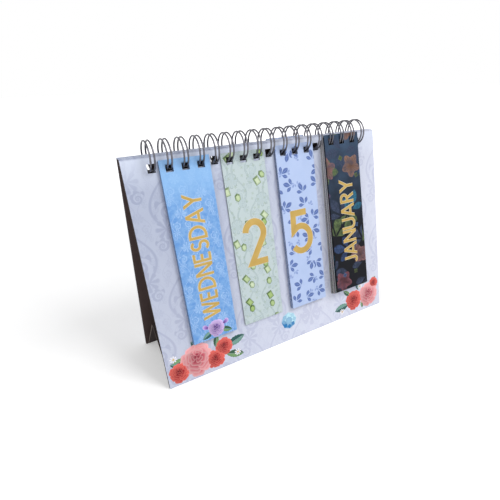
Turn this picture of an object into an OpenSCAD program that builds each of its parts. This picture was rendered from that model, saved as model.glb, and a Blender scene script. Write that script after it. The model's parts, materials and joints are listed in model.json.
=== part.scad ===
// Perpetual flip calendar: a folding board tent, four stacks of cards and one twin-loop wire.
// X runs along the ridge, Y runs to the back, Z is up. The origin lies on the desk,
// in the middle of the foot of the front board.

/* [Tent boards] */
// Width of both boards, along the ridge
board_width = 165; // [150:1:200]
// Height of each board along its outer face, from ridge to desk
board_height = 127; // [118:1:160]
// Thickness of the greyboard core of each board
core_thickness = 1.6; // [1:0.1:2]
// Thickness of the printed cover paper
cover_thickness = 0.2; // [0.1:0.05:0.3]
// Thickness of the plain paper that lines the inside
liner_thickness = 0.2; // [0.1:0.05:0.3]
// Lean of each board from the vertical, in degrees
lean = 10.3; // [8:0.1:12]

/* [Ridge] */
// Depth of the ridge, from fold to fold
ridge_width = 5.6; // [5.2:0.1:6]
// Thickness of the folded strip that joins the boards
ridge_thickness = 0.4; // [0.2:0.1:0.6]
// Space left between the strip's edge and each fold
fold_clearance = 0.15; // [0.1:0.05:0.3]

/* [Bottom gusset] */
// Length of each half, from the board to the crease
gusset_length = 36; // [34:1:40]
// Thickness of each half
gusset_thickness = 0.7; // [0.4:0.1:0.8]
// Length of the slope cut on each half at the crease
crease_bevel = 1.5; // [1:0.1:2.5]
// Space left open between the two halves at the crease
crease_gap = 0.8; // [0.6:0.1:1.4]
// Space between each board's lining and its gusset half
gusset_seat = 0.2; // [0.1:0.05:0.4]
// Height of the gusset's fold above the board's foot
gusset_rise = 1.5; // [1.3:0.1:4]
// Distance from each end of the gusset to the board's edge
gusset_inset = 1.5; // [0:0.5:6]

/* [Twin-loop wire] */
// Distance from one loop to the next
loop_pitch = 8.467; // [8.3:0.001:8.6]
// Thickness of the wire
wire_diameter = 0.95; // [0.8:0.05:1]
// Radius of each loop, to the middle of the wire
loop_radius = 7.5; // [7.4:0.1:7.8]
// Distance between the two wires of one loop
twin_gap = 2.1; // [1.8:0.1:2.4]
// Distance from the front fold back to the loops' centre
loop_reach = 1.2; // [1:0.1:1.3]
// Height of the loops' centre above the folds
loop_rise = 0.1; // [0:0.1:0.3]
// Direction from the loops' centre to the place where they close, in degrees
closure_angle = -87; // [-89:1:-84]
// Angle left open there between the tips and the roots of the loops
closure_opening = 12; // [10:1:15]
// How much the wire swells where it is bent sharply, on each side
bend_swell = 0.05; // [0.04:0.01:0.1]
// Sideways shift of the whole row of holes from the middle of the boards
row_shift = -0.6; // [-2:0.1:2]

/* [Punched holes] */
// Width of every square hole
hole_width = 4; // [3.6:0.1:4.4]
// Height of the holes in the boards
board_hole_height = 4.4; // [4.2:0.1:4.8]
// Distance from a board's ridge edge to the middle of its holes
board_hole_setback = 5.7; // [5.6:0.1:5.9]
// Height of the holes in the cards
card_hole_height = 4; // [3.8:0.1:4.4]

/* [Cards] */
// Width of a card
card_width = 27; // [23:0.5:30]
// Length of a card
card_length = 102; // [80:1:108]
// Thickness of a card
card_thickness = 0.3; // [0.2:0.05:0.35]
// Distance from a card's top edge to its holes
card_margin = 2.2; // [1.5:0.1:2.5]
// Air between a board and the card nearest to it
first_gap = 0.1; // [0.05:0.05:0.2]
// Distance from card to card in the stacks in front
front_layer = 0.42; // [0.4:0.01:0.44]
// Distance from card to card in the flipped stacks behind
rear_layer = 0.34; // [0.32:0.01:0.38]
// Angle by which each card stands further out than the one below it, in degrees
fan_step = 0.15; // [0.05:0.05:0.2]

/* [Hidden] */
// Each stack: its number of cards, the number of them that hang in front,
// and the number of the loop in its middle, counted from the left.
DAY = ["monday", "tuesday", "wednesday", "thursday", "friday", "saturday", "sunday"];
TENS = ["tens_0", "tens_1", "tens_2", "tens_3"];
UNITS = [for (digit = [0:9]) str("units_", digit)];
MONTH = [
    "january", "february", "march", "april", "may", "june",
    "july", "august", "september", "october", "november", "december"
];
STACKS = [
    [DAY, 5, 3],
    [TENS, 2, 7],
    [UNITS, 5, 11],
    [MONTH, 12, 15]
];
loops = 17;
holes_per_card = 3;

panel_thickness = cover_thickness + core_thickness + liner_thickness;
ridge_height = board_height * cos(lean);
foot_reach = ridge_width / 2 + board_height * sin(lean) - panel_thickness / cos(lean) / 2;
wire_radius = wire_diameter / 2;
inner_radius = loop_radius - wire_radius;
outer_radius = loop_radius + wire_radius;
gusset_width = board_width - 2 * gusset_inset;
root_angle = closure_angle + closure_opening / 2;
tip_angle = closure_angle - closure_opening / 2;
round_faces = 48;
section_faces = 40;
past = 1;

CARD_NODES = [for (stack = STACKS) for (name = stack[0]) str("card_", name)];

// ---- Places -------------------------------------------------------------

// Sideways place of loop number i, counted from 1 at the left.
function loop_x(i) = row_shift + (i - (loops + 1) / 2) * loop_pitch;

// Distance from a panel's outer face in to the loops' centre, and the height of that
// centre above the panel's ridge edge, for a panel whose fold is "reach" away from it.
function centre_depth(reach) = reach * cos(lean) - loop_rise * sin(lean);
function centre_height(reach) = reach * sin(lean) + loop_rise * cos(lean);

// Distance from the loops' centre down to where a loop passes through a card whose
// middle plane stands "offset" away from that centre: midway along the cut wire.
function crossing(offset) = let (
    near = sqrt(pow(inner_radius, 2) - pow(offset + card_thickness / 2, 2)),
    far = sqrt(pow(outer_radius, 2) - pow(offset - card_thickness / 2, 2))
) (near + far) / 2;

// The front panel's own frame: ridge edge of the outer face at the origin, the face in
// the plane y = 0 and facing -Y, the panel hanging down along -Z.
module on_front() {
    translate([0, -ridge_width / 2, ridge_height])
        rotate([-lean, 0, 0])
            children();
}

// The same frame for the rear panel, which is the front one seen in a mirror.
module on_rear() {
    mirror([0, 1, 0])
        on_front()
            children();
}

// Turns a flat drawing of (back, up) into a solid that runs along the ridge.
module along_ridge(length) {
    translate([-length / 2, 0, 0])
        rotate([90, 0, 90])
            linear_extrude(height = length)
                children();
}

// ---- Boards -------------------------------------------------------------

// One layer of a panel, from "depth" behind the outer face inwards, with its square holes.
// Its foot is cut level with the desk.
module panel_layer(depth, thickness) {
    inner_depth = depth + thickness;
    along_ridge(board_width)
        polygon([
            [depth, 0],
            [depth, depth * tan(lean) - board_height],
            [inner_depth, inner_depth * tan(lean) - board_height],
            [inner_depth, 0]
        ]);
}

module board_holes() {
    for (i = [1:loops])
        translate([loop_x(i), panel_thickness / 2, -board_hole_setback])
            cube([hole_width, panel_thickness + 2 * past, board_hole_height], center = true);
}

module punched_layer(depth, thickness) {
    difference() {
        panel_layer(depth, thickness);
        board_holes();
    }
}

module cover() {
    color("lavender") punched_layer(0, cover_thickness);
}

module core() {
    color("darkgray") punched_layer(cover_thickness, core_thickness);
}

module liner() {
    color("dimgray") punched_layer(cover_thickness + core_thickness, liner_thickness);
}

// The strip of folded cover that bridges the two boards at the top.
module ridge_strip() {
    color("lavender")
        translate([0, 0, ridge_height])
            along_ridge(board_width)
                translate([-ridge_width / 2 + fold_clearance, 0])
                    square([ridge_width - 2 * fold_clearance, ridge_thickness]);
}

// ---- Gusset -------------------------------------------------------------

// Fold of the front gusset half, as (back, up), just inside the foot of the front panel.
gusset_fold = let (
    depth = panel_thickness + gusset_seat,
    drop = board_height - gusset_rise
) [
    -ridge_width / 2 + depth * cos(lean) - drop * sin(lean),
    ridge_height - depth * sin(lean) - drop * cos(lean)
];

// Each half leans in from its fold until it is half a crease gap short of the middle.
gusset_lean = asin((-gusset_fold[0] - crease_gap / 2) / gusset_length);

// Drawn flat, the half stands on its fold and has its thickness on the desk side.
module gusset_half() {
    color("darkgray")
        along_ridge(gusset_width)
            translate(gusset_fold)
                rotate(-gusset_lean)
                    polygon([
                        [0, 0],
                        [gusset_thickness, 0],
                        [gusset_thickness, gusset_length - crease_bevel],
                        [0, gusset_length]
                    ]);
}

// ---- Twin-loop wire -----------------------------------------------------

// Frame of one loop: its centre at the origin and its plane across the ridge,
// with angles counted from the back, upwards, and Z along the ridge.
module at_loop(x) {
    translate([x, loop_reach - ridge_width / 2, ridge_height + loop_rise])
        rotate([90, 0, 90])
            children();
}

module wire_section() {
    circle(wire_radius, $fn = section_faces);
}

module loop_wire() {
    rotate(root_angle)
        rotate_extrude(angle = 360 - closure_opening, $fn = round_faces)
            translate([loop_radius, 0])
                wire_section();
}

// The sharp bend at the end of a loop, slightly thicker than the wire.
module corner(angle) {
    rotate(angle)
        translate([loop_radius, 0, 0])
            sphere(wire_radius + bend_swell, $fn = section_faces);
}

// The straight stretch of wire that runs on from such a bend to the right.
module cross_wire(angle, span) {
    rotate(angle)
        translate([loop_radius, 0, 0])
            cylinder(r = wire_radius, h = span, $fn = section_faces);
}

// One wire all the way along. It goes up one side of each loop, across the loop's tip and
// back down the other side, and then on from root to root to the next loop.
module twin_loop_wire() {
    color("silver")
        for (i = [1:loops]) {
            for (side = [-1, 1])
                at_loop(loop_x(i) + side * twin_gap / 2) {
                    loop_wire();
                    corner(tip_angle);
                    corner(root_angle);
                }
            at_loop(loop_x(i) - twin_gap / 2)
                cross_wire(tip_angle, twin_gap);
            if (i < loops)
                at_loop(loop_x(i) + twin_gap / 2)
                    cross_wire(root_angle, loop_pitch - twin_gap);
        }
}

// ---- Cards --------------------------------------------------------------

// A card that hangs along -Z, with the middle of its hole row at the origin.
module card_blank() {
    head = card_hole_height / 2 + card_margin;
    difference() {
        translate([-card_width / 2, -card_thickness / 2, head - card_length])
            cube([card_width, card_thickness, card_length]);
        for (k = [0:holes_per_card - 1])
            translate([(k - (holes_per_card - 1) / 2) * loop_pitch, 0, 0])
                cube([hole_width, card_thickness + 2 * past, card_hole_height], center = true);
    }
}

// Card number "layer" of a stack, counted outwards from the panel. It is hung on the
// loops at the height where they pass through its own layer, and fanned about them.
module hang_card(reach, layer, layer_step) {
    offset = centre_depth(reach) + first_gap + card_thickness / 2 + layer * layer_step;
    translate([0, centre_depth(reach), centre_height(reach)])
        rotate([-layer * fan_step, 0, 0])
            translate([0, -offset, -crossing(offset)])
                card_blank();
}

// The cards in front lie in order, the shown one outermost. The ones before it have been
// flipped over the ridge one by one, so the first of them lies nearest to the rear panel.
module stacked_card(stack, number) {
    in_front = stack[1];
    flipped = len(stack[0]) - in_front;
    is_front = number >= flipped;
    reach = is_front ? loop_reach : ridge_width - loop_reach;
    layer = is_front ? len(stack[0]) - 1 - number : number;
    layer_step = is_front ? front_layer : rear_layer;
    translate([loop_x(stack[2]), 0, 0])
        if (is_front)
            on_front() hang_card(reach, layer, layer_step);
        else
            on_rear() hang_card(reach, layer, layer_step);
}

// Cardstock colour of each stack, from the left.
STACK_COLOURS = ["cornflowerblue", "honeydew", "lightsteelblue", "darkslategray"];

// ---- Assembly -----------------------------------------------------------

// Everything above is drawn about the middle of the tent. Here it is moved back until
// the middle of its front foot stands on the origin.
translate([0, foot_reach, 0]) {
    on_front() core();  // front_board
    on_front() cover();  // front_cover
    on_front() liner();  // front_liner
    on_rear() core();  // rear_board
    on_rear() cover();  // rear_cover
    on_rear() liner();  // rear_liner
    ridge_strip();
    gusset_half();  // gusset_front
    mirror([0, 1, 0]) gusset_half();  // gusset_rear
    twin_loop_wire();
    for (s = [0:len(STACKS) - 1])
        for (number = [0:len(STACKS[s][0]) - 1])
            color(STACK_COLOURS[s]) stacked_card(STACKS[s], number);
}
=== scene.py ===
# %% [markdown]
# # A perpetual desk calendar
# The object is a tent of two printed boards. Four stacks of cards hang on a twin-loop wire
# along its ridge: weekday, tens, units and month. The boards, cards, ridge strip and gusset
# come from the CAD model as they are and get new finishes here. The wire is made again as
# one smooth tube, and the printed flowers and the foil lettering are thin raised pieces.

import json
from math import cos, pi, radians, sin

import bpy
import numpy as np
from mathutils import Matrix, Vector


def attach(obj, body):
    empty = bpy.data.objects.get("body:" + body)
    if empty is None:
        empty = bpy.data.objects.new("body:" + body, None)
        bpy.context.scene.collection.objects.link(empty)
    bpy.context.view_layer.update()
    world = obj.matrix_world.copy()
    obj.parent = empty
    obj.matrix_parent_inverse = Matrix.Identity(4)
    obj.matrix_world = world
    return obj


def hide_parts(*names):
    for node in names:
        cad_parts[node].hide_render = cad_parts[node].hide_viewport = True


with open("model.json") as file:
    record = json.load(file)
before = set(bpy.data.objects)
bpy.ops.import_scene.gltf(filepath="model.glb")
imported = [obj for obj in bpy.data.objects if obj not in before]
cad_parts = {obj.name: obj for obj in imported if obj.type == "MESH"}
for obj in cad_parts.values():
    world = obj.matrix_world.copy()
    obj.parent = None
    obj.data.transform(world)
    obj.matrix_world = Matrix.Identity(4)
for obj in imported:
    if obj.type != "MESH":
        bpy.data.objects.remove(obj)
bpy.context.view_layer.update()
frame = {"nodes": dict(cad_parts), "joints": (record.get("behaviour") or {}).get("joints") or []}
nodes = frame["nodes"]

# %% [markdown]
# ## Where things are
# Every place is read from the frame's joints, so the looks follow the CAD model. A flat
# piece needs a seat: a point on a surface, and the directions right, up and out of it. A
# picture is laid out in millimetres on its seat, with `right`, `up` and `out` as its axes.

# %% Measures and seats
MM = 0.001
LEAN = radians(10.3)
FAN_STEP = radians(0.15)

joint_places = {joint["name"]: np.array(joint["pos_m"]) for joint in frame["joints"]}
ridge_middle = joint_places["tent_fold"]
front_fold = joint_places["ridge_fold"]
loop_centre = joint_places["turn_wednesday"]


def seat(origin, lean):
    """A place for flat art, as (origin, axes). The rows of axes are right along the ridge, up
    the sheet, and out of it, for a sheet turned by the angle lean from the vertical."""
    up = np.array([0.0, sin(lean), cos(lean)])
    out = np.array([0.0, -cos(lean), sin(lean)])
    return np.asarray(origin, float), np.array([[1.0, 0.0, 0.0], up, out])


def on_seat(points, place):
    """Millimetre points (right, up, out) become metre points in the row frame: the origin
    plus each coordinate times its axis."""
    origin, axes = place
    return origin + (np.asarray(points) * MM) @ axes


BOARD_SEAT = seat(front_fold, LEAN)
print("ridge height:", round(ridge_middle[2] / MM, 2), "mm")

# %% [markdown]
# ## From arrays to meshes
# Each small piece is a closed form: a stack of rings with a flat cap at either end. A round
# petal is rings that shrink towards its middle, and a pen stroke is rings carried along a
# path. Shapes are joined into one mesh, each with the colour of its ink at its corners.

# %% Closed forms from rings
def closed_form(rings, looped=False):
    """Joins rings, an array (ring, corner, 3), into faces. Neighbouring rings are joined by
    quads. The ends get a cap each, or are joined to each other where looped is true. The
    volume's sign, the sum of the dot of each quad's middle with its area vector, says which
    way the faces look, and they are turned to look out."""
    count, corners = rings.shape[:2]
    index = np.arange(count * corners).reshape(count, corners)
    near = index if looped else index[:-1]
    far = np.roll(index, -1, 0) if looped else index[1:]
    quads = np.stack([near, np.roll(near, -1, 1), np.roll(far, -1, 1), far], -1).reshape(-1, 4)
    points = rings.reshape(-1, 3)
    a, b, c, d = (points[quads[:, k]] for k in range(4))
    middle = (a + b + c + d) / 4 - points.mean(0)
    turned = np.einsum("ij,ij->i", middle, np.cross(c - a, d - b)).sum() < 0
    faces = quads.tolist()
    if not looped:
        faces += [index[0, ::-1].tolist(), index[-1].tolist()]
    if turned:
        faces = [face[::-1] for face in faces]
    return points, faces


def joined(shapes):
    """One set of arrays from many shapes, each (points, faces, colours)."""
    points, faces, colours, start = [], [], [], 0
    for shape_points, shape_faces, shape_colours in shapes:
        points.append(shape_points)
        faces += [[corner + start for corner in face] for face in shape_faces]
        colours.append(np.broadcast_to(shape_colours, shape_points.shape))
        start += len(shape_points)
    return np.concatenate(points), faces, np.concatenate(colours)


# %% Objects in the scene
def new_object(name, data):
    """An object for a mesh, lamp or camera, linked to the scene."""
    item = bpy.data.objects.new(name, data)
    bpy.context.scene.collection.objects.link(item)
    return item


def make_piece(name, points, faces, material, body, colours=None, smooth=False):
    """A mesh object at the origin with its place in its points, riding on a CAD body."""
    mesh = bpy.data.meshes.new(name)
    mesh.from_pydata(points.tolist(), [], faces)
    if colours is not None:
        ink = mesh.attributes.new("ink", "FLOAT_COLOR", "POINT")
        stored = np.ones((len(points), 4), np.float32)
        stored[:, :3] = colours
        ink.data.foreach_set("color", stored.ravel())
    mesh.polygons.foreach_set("use_smooth", np.full(len(faces), smooth))
    mesh.materials.append(material)
    piece = new_object(name, mesh)
    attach(piece, body)
    return piece


# %% Colours
def ink_colour(red, green, blue):
    """A colour given in steps of 255 as the screen shows it, turned into plain light."""
    steps = np.array([red, green, blue]) / 255.0
    return np.where(steps <= 0.04045, steps / 12.92, ((steps + 0.055) / 1.055) ** 2.4)


def rgba(red, green, blue):
    """The same colour for a node's socket."""
    return (*ink_colour(red, green, blue), 1.0)


# %% [markdown]
# ## Building blocks for finishes
# A finish is a graph of nodes. Each output is wrapped in a small class, and Python's own
# signs between wrapped outputs add Math nodes. So a formula reads the same in the code as on
# paper. Effects that several materials share become node groups that put out colours and
# masks only.

# %% Values
class Value:
    """One output of a node in its tree. Arithmetic on it adds a Math node to that tree."""

    def __init__(self, socket):
        self.socket = socket
        self.tree = socket.id_data

    def __add__(self, other):
        return calc("ADD", self, other)

    def __sub__(self, other):
        return calc("SUBTRACT", self, other)

    def __rsub__(self, other):
        return calc("SUBTRACT", other, self)

    def __mul__(self, other):
        return calc("MULTIPLY", self, other)

    def __truediv__(self, other):
        return calc("DIVIDE", self, other)

    def __rtruediv__(self, other):
        return calc("DIVIDE", other, self)

    def __mod__(self, other):
        return calc("FLOORED_MODULO", self, other)

    def __lt__(self, other):
        return calc("LESS_THAN", self, other)

    def __gt__(self, other):
        return calc("GREATER_THAN", self, other)

    def __abs__(self):
        return calc("ABSOLUTE", self)


# %% Nodes
def link(value, socket):
    """Joins a Value to an input socket."""
    value.tree.links.new(value.socket, socket)


def add(kind, inputs=None, tree=None, **settings):
    """Adds a shader node and returns its outputs as Values, by number and by name. An input
    is a Value or a plain number or colour. The tree is that of the Values, if none is given."""
    inputs = inputs or {}
    if tree is None:
        tree = next(value.tree for value in inputs.values() if isinstance(value, Value))
    node = tree.nodes.new("ShaderNode" + kind)
    for key, value in settings.items():
        setattr(node, key, value)
    for key, value in inputs.items():
        if isinstance(value, Value):
            link(value, node.inputs[key])
        else:
            node.inputs[key].default_value = value
    outputs = [Value(socket) for socket in node.outputs]
    return dict(enumerate(outputs)) | {value.socket.name: value for value in outputs}


def calc(operation, *values):
    """One Math node on up to three values."""
    return add("Math", dict(enumerate(values)), operation=operation)[0]


def vector_calc(operation, *vectors):
    """One Vector Math node on up to two vectors."""
    return add("VectorMath", dict(enumerate(vectors)), operation=operation)[0]


def vector_length(vector):
    """How long a vector is."""
    return add("VectorMath", {0: vector}, operation="LENGTH")["Value"]


def split(vector):
    """The X, Y and Z of a vector."""
    parts = add("SeparateXYZ", {0: vector})
    return parts["X"], parts["Y"], parts["Z"]


def polar(spot):
    """How far a spot in the plane is from its middle, and at which angle."""
    x, y, _ = split(spot)
    return vector_length(spot), calc("ARCTAN2", y, x)


def in_plane(x, y):
    """The vector (x, y, 0)."""
    return add("CombineXYZ", {"X": x, "Y": y})[0]


def clamp(value):
    """A value held between 0 and 1."""
    return add("Clamp", {0: value})[0]


def ramp(value, start, end, first=0.0, last=1.0):
    """A value that runs from first to last while the given one runs from start to end."""
    ends = {"From Min": start, "From Max": end, "To Min": first, "To Max": last}
    return add("MapRange", {"Value": value, **ends})[0]


def blend(factor, first, second):
    """A colour that goes from first to second as factor goes from 0 to 1."""
    return add("Mix", {"Factor": factor, 6: first, 7: second}, data_type="RGBA")[2]


def noise(place, scale, detail, roughness=0.5):
    """Soft noise from 0 to 1, with so many bumps to a unit and so many finer layers."""
    dials = {"Vector": place, "Scale": scale, "Detail": detail, "Roughness": roughness}
    return add("TexNoise", dials)[0]


def coordinates(tree, kind="Object"):
    """The surface's own coordinates, in its object's axes."""
    return add("TexCoord", tree=tree)[kind]


# %% Node groups
def new_group(name, draw, **inputs):
    """A node group. Each input is given with its default, or None for a vector. draw takes a
    Value for each, or the tree where there are none, and returns the outputs by name."""
    group = bpy.data.node_groups.new(name, "ShaderNodeTree")
    for label, default in inputs.items():
        kind = "NodeSocketVector" if default is None else "NodeSocketFloat"
        socket = group.interface.new_socket(name=label, in_out="INPUT", socket_type=kind)
        if default is not None:
            socket.default_value = default
    entry = group.nodes.new("NodeGroupInput").outputs
    given = [Value(entry[label]) for label in inputs]
    outputs = draw(*given) if given else draw(group)
    for label, value in outputs.items():
        kind = "NodeSocketVector" if value.socket.type == "VECTOR" else "NodeSocketFloat"
        group.interface.new_socket(name=label, in_out="OUTPUT", socket_type=kind)
    result = group.nodes.new("NodeGroupOutput").inputs
    for label, value in outputs.items():
        link(value, result[label])
    return group


def use(group, tree=None, **inputs):
    """Places a node group in a tree and returns its outputs."""
    return add("Group", inputs, tree, node_tree=group)


# %% [markdown]
# ### Places on a sheet
# A print lies in the plane of its board or card. The group turns object coordinates into
# millimetres on the sheet: across is X, and down is the distance along the leaning board.
# Both boards and all their cards share it, since they are mirror images about the ridge.

# %% Group: sheet place
def sheet_place(tree):
    """Across = X. Down = the distance from the ridge's middle line, |Y - ridge|, times the
    sine of the lean, plus the depth below the ridge times its cosine, all in millimetres."""
    x, y, z = split(coordinates(tree))
    aside = abs(y - float(ridge_middle[1]))
    below = float(ridge_middle[2]) - z
    down = aside * (sin(LEAN) / MM) + below * (cos(LEAN) / MM)
    return {"Place": in_plane(x * (1 / MM), down)}


SHEET_PLACE = new_group("sheet place", sheet_place)

# %% [markdown]
# ### Paper grain
# Printed card and board are pressed fibre under a thin coating. Up close the surface has
# short soft fibres and a faint cloudiness, which shows in the gloss more than in the colour.

# %% Group: paper grain
def paper_grain(tree):
    """Fibre = fine noise stretched along X. Cloud = broad noise. Tone = a factor for colour
    near 1, which moves with both. Sheen = a factor for roughness near 1."""
    where = coordinates(tree)
    fibre = noise(vector_calc("MULTIPLY", where, (0.45, 1.0, 1.0)), 2600.0, 3.0)
    cloud = noise(where, 70.0, 2.0)
    tone = cloud * 0.05 + (fibre * 0.05 + 0.95)
    sheen = fibre * 0.3 + (cloud * 0.2 + 0.75)
    return {"Fibre": fibre, "Tone": tone, "Sheen": sheen}


PAPER_GRAIN = new_group("paper grain", paper_grain)

# %% [markdown]
# ### Which side of a sheet
# A card has a printed face, a plain back and cut edges, at its sides and inside its holes. All
# cards, also the flipped ones behind, show their print towards the front, so the normal in the
# object's own axes tells them apart.

# %% Group: sheet sides
def sheet_sides(tree):
    """Front = 1 where the normal's Y is below -0.5. Back = 1 where it is above 0.5. Upper = 1
    where its Z is above 0.5, on an upper edge. What is left is the cut edge elsewhere."""
    _, y, z = split(coordinates(tree, "Normal"))
    return {"Front": y < -0.5, "Back": y > 0.5, "Upper": z > 0.5}


SHEET_SIDES = new_group("sheet sides", sheet_sides)

# %% [markdown]
# ### Scrolls
# Printed grounds like damask are built from volutes, the curls of a scroll. A volute is a
# logarithmic spiral: its stroke gets thinner towards the eye, as a drawn one does. It needs
# only the distance and the angle from the eye, so a shader can draw it with no picture.

# %% Group: volute
EULER = 2.71828


def volute(spot, reach):
    """With share = the distance from the eye over reach and a = the angle, the stroke is where
    cos(a - 6 ln share) is above 0. It ends at a leafy edge, share = 0.86 + 0.14 cos(6a + 5
    share), whose lobes lean the way the scroll winds."""
    distance, angle = polar(spot)
    share = distance / reach
    wound = calc("LOGARITHM", share + 0.02, EULER)
    stroke = clamp(calc("COSINE", angle - wound * 6.0) * 3.0 + 0.5)
    edge = calc("COSINE", angle * 6.0 + share * 5.0) * 0.14 + 0.86
    return {"Scroll": stroke * clamp((edge - share) * 14.0)}


VOLUTE = new_group("volute", volute, Spot=None, Reach=8.0)

# %% [markdown]
# ### Damask
# A damask is a traditional figured ground in a half-drop repeat, the same to the left and to
# the right of its middle line. Folding the plane into one cell, and that cell about its middle
# line, leaves half a figure to draw: three volutes, two fans of petals, and a stem that
# swings in and out between them.

# %% Group: damask
FANS = ((0.0, -0.42, 0.24), (0.3, 0.3, 0.17))
CURLS = ((0.24, 0.04, 0.22), (0.14, -0.27, 0.15), (0.4, 0.38, 0.13))


def fan_of_petals(x, y, width, reach):
    """A fan with its foot at (0, 0). With r the distance over the width and a the angle, its
    edge is at r = reach * (0.8 + 0.2 |cos 4a|), cut by rays where cos 8a is low."""
    share = calc("SQRT", x * x + y * y) / width
    angle = calc("ARCTAN2", y, x)
    edge = abs(calc("COSINE", angle * 4.0)) * (0.2 * reach) + 0.8 * reach
    rays = calc("COSINE", angle * 8.0) * 2.0 + 1.1
    return clamp((edge - share) * 40.0) * clamp(rays)


def damask(place, width, height):
    """Cell: columns of the given width, every second one dropped by half of height, folded by
    |x|. The stem is close to x = width * (0.27 + 0.2 cos(2 pi y / height)). Figure = whichever
    of stem, fans and volutes is strongest. Outline = 1 along its edges, 1 - |2 Figure - 1|.
    A fan's place is in widths, and a volute's in widths across and heights up."""
    across, up, _ = split(place)
    odd_column = calc("PINGPONG", calc("FLOOR", across / width), 1.0)
    x = abs(across % width - width * 0.5)
    y = (odd_column * (height * 0.5) + up) % height - height * 0.5
    swing = calc("COSINE", y / height * (2 * pi)) * 0.2 + 0.27
    figure = clamp(abs(x / width - swing) * -60.0 + 1.6)
    for at_x, at_y, reach in FANS:
        fan = fan_of_petals(x - width * at_x, y - width * at_y, width, reach)
        figure = calc("MAXIMUM", figure, fan)
    for eye_x, eye_y, reach in CURLS:
        spot = in_plane(x - width * eye_x, y - height * eye_y)
        figure = calc("MAXIMUM", figure, use(VOLUTE, Spot=spot, Reach=width * reach)["Scroll"])
    return {"Figure": figure, "Outline": 1.0 - abs(figure * 2.0 - 1.0)}


DAMASK = new_group("damask", damask, Place=None, Width=30.0, Height=40.0)

# %% [markdown]
# ### Scattered motifs
# Small repeated motifs lie at loose, even distances and at all angles. A Voronoi cell gives
# each one its own middle and turn, and two random numbers. The motif is then drawn in the
# plane about that middle: a petalled bloom, a faceted gem, or a sprig of three ribbed leaves.

# %% Group: scatter
def scatter(place, spacing, looseness, turn, seed):
    """Cells of the given spacing. Spot = the place measured from the cell's middle, after a
    random turn of up to the given part of a whole turn. Chance and Tint = two random numbers
    of the cell, from 0 to 1."""
    shifted = vector_calc("ADD", place, in_plane(seed, seed))
    cells = {"Vector": shifted, "Scale": 1.0 / spacing, "Randomness": looseness}
    cell = add("TexVoronoi", cells, voronoi_dimensions="2D")
    chance = add("SeparateColor", {0: cell["Color"]})
    local = vector_calc("SUBTRACT", shifted, cell["Position"])
    turned = {"Vector": local, "Angle": chance["Red"] * (turn * (2 * pi))}
    spot = add("VectorRotate", turned, rotation_type="Z_AXIS")[0]
    return {"Spot": spot, "Chance": chance["Green"], "Tint": chance["Blue"]}


SCATTER = new_group("scatter", scatter, Place=None, Spacing=8.0, Looseness=0.5, Turn=1.0, Seed=0.0)

# %% Group: bloom
def bloom(spot, size, petals, depth):
    """With r the distance and a the angle in spot, the edge is at size * (1 - depth + depth *
    cos(petals a)). Fill = 1 inside, Core = r over the edge's distance, Rib = fine rays."""
    distance, angle = polar(spot)
    around = angle * petals
    edge = (calc("COSINE", around) - 1.0) * depth * size + size
    ribs = calc("COSINE", around * 4.0)
    return {"Fill": clamp((edge - distance) * 8.0), "Core": distance / edge, "Rib": ribs}


BLOOM = new_group("bloom", bloom, Spot=None, Size=2.0, Petals=5.0, Depth=0.3)

# %% Group: gem
def gem(spot, size, sides):
    """A cut gem with straight sides, longer one way. The plane is cut into one sector a side,
    and in each the distance to the side is r cos(a - the sector's middle angle). Fill = 1
    where that is under size. Facet = a grey per sector, lighter on the table, and 0 on the
    girdle, the thin dark line around the stone."""
    distance, angle = polar(vector_calc("MULTIPLY", spot, (1.3, 1.0, 1.0)))
    sector = 2 * pi / sides
    middle = calc("ROUND", angle / sector) * sector
    share = distance * calc("COSINE", angle - middle) / size
    lit = calc("COSINE", middle - 0.9) * 0.4 + 0.45
    facet = calc("MAXIMUM", (share < 0.52) * 0.95, lit)
    return {"Fill": clamp(share * -12.0 + 12.0), "Facet": facet * (share < 0.84)}


GEM = new_group("gem", gem, Spot=None, Size=2.0, Sides=6.0)

# %% Group: sprig
LEAF_SPREAD = 0.96


def sprig(spot, size):
    """Three leaves from one foot, the spread in radians apart. With r the distance over size
    and b the angle to the nearest leaf's midrib, a leaf is where b < 0.42 sin(pi r), and a side
    leaf is 1.3 times shorter. Rib = slanting lines of r - 0.6 b, with a gap at the midrib."""
    x, y, _ = split(spot)
    aside = abs(x)
    raised = size * 0.4 + y
    share = calc("SQRT", aside * aside + raised * raised) / size
    angle = calc("ARCTAN2", aside, raised)
    side = abs(angle - LEAF_SPREAD)
    to_rib = calc("MINIMUM", angle, side)
    along = calc("MINIMUM", share * ((side < angle) * 0.3 + 1.0), 1.0)
    half = calc("SINE", along * pi) * 0.42
    stripes = calc("SINE", (share - to_rib * 0.6) * 42.0) * 0.4 + 0.6
    return {"Fill": clamp((half - to_rib) * 12.0), "Rib": stripes * (to_rib * share > 0.018)}


SPRIG = new_group("sprig", sprig, Spot=None, Size=4.0)
print("node groups:", len(bpy.data.node_groups))

# %% [markdown]
# ## Finishes of the boards
# The tent is grey pasteboard, its cut edges painted near-black as shade. Its cover is a soft
# lilac paper printed with a tone-on-tone damask, with painted shading that leaves it darker
# and a little bluer at the upper left. Its inside is lined with a plain dark brown paper, and
# the gusset is the same board, its faces painted dark as shade, with raw lighter edges.

# %% A finish and its paper surface
def new_finish(name, **settings):
    """A material, its node tree and its Principled shader, with plain values set on the shader."""
    material = bpy.data.materials.new(name)
    material.use_nodes = True
    shader = material.node_tree.nodes["Principled BSDF"]
    for key, value in settings.items():
        shader.inputs[key.replace("_", " ")].default_value = value
    return material, material.node_tree, shader


def feed(shader, colour, roughness, height, strength=0.3, distance=0.00004):
    """Links colour, roughness and a bump of the given height into the shader."""
    bump = add("Bump", {"Height": height, "Strength": strength, "Distance": distance})
    link(colour, shader.inputs["Base Color"])
    link(roughness, shader.inputs["Roughness"])
    link(bump["Normal"], shader.inputs["Normal"])


def tinted(colour, tone):
    """A colour times a grey tone."""
    return add("VectorMath", {0: colour, 3: tone}, operation="SCALE")[0]


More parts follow.
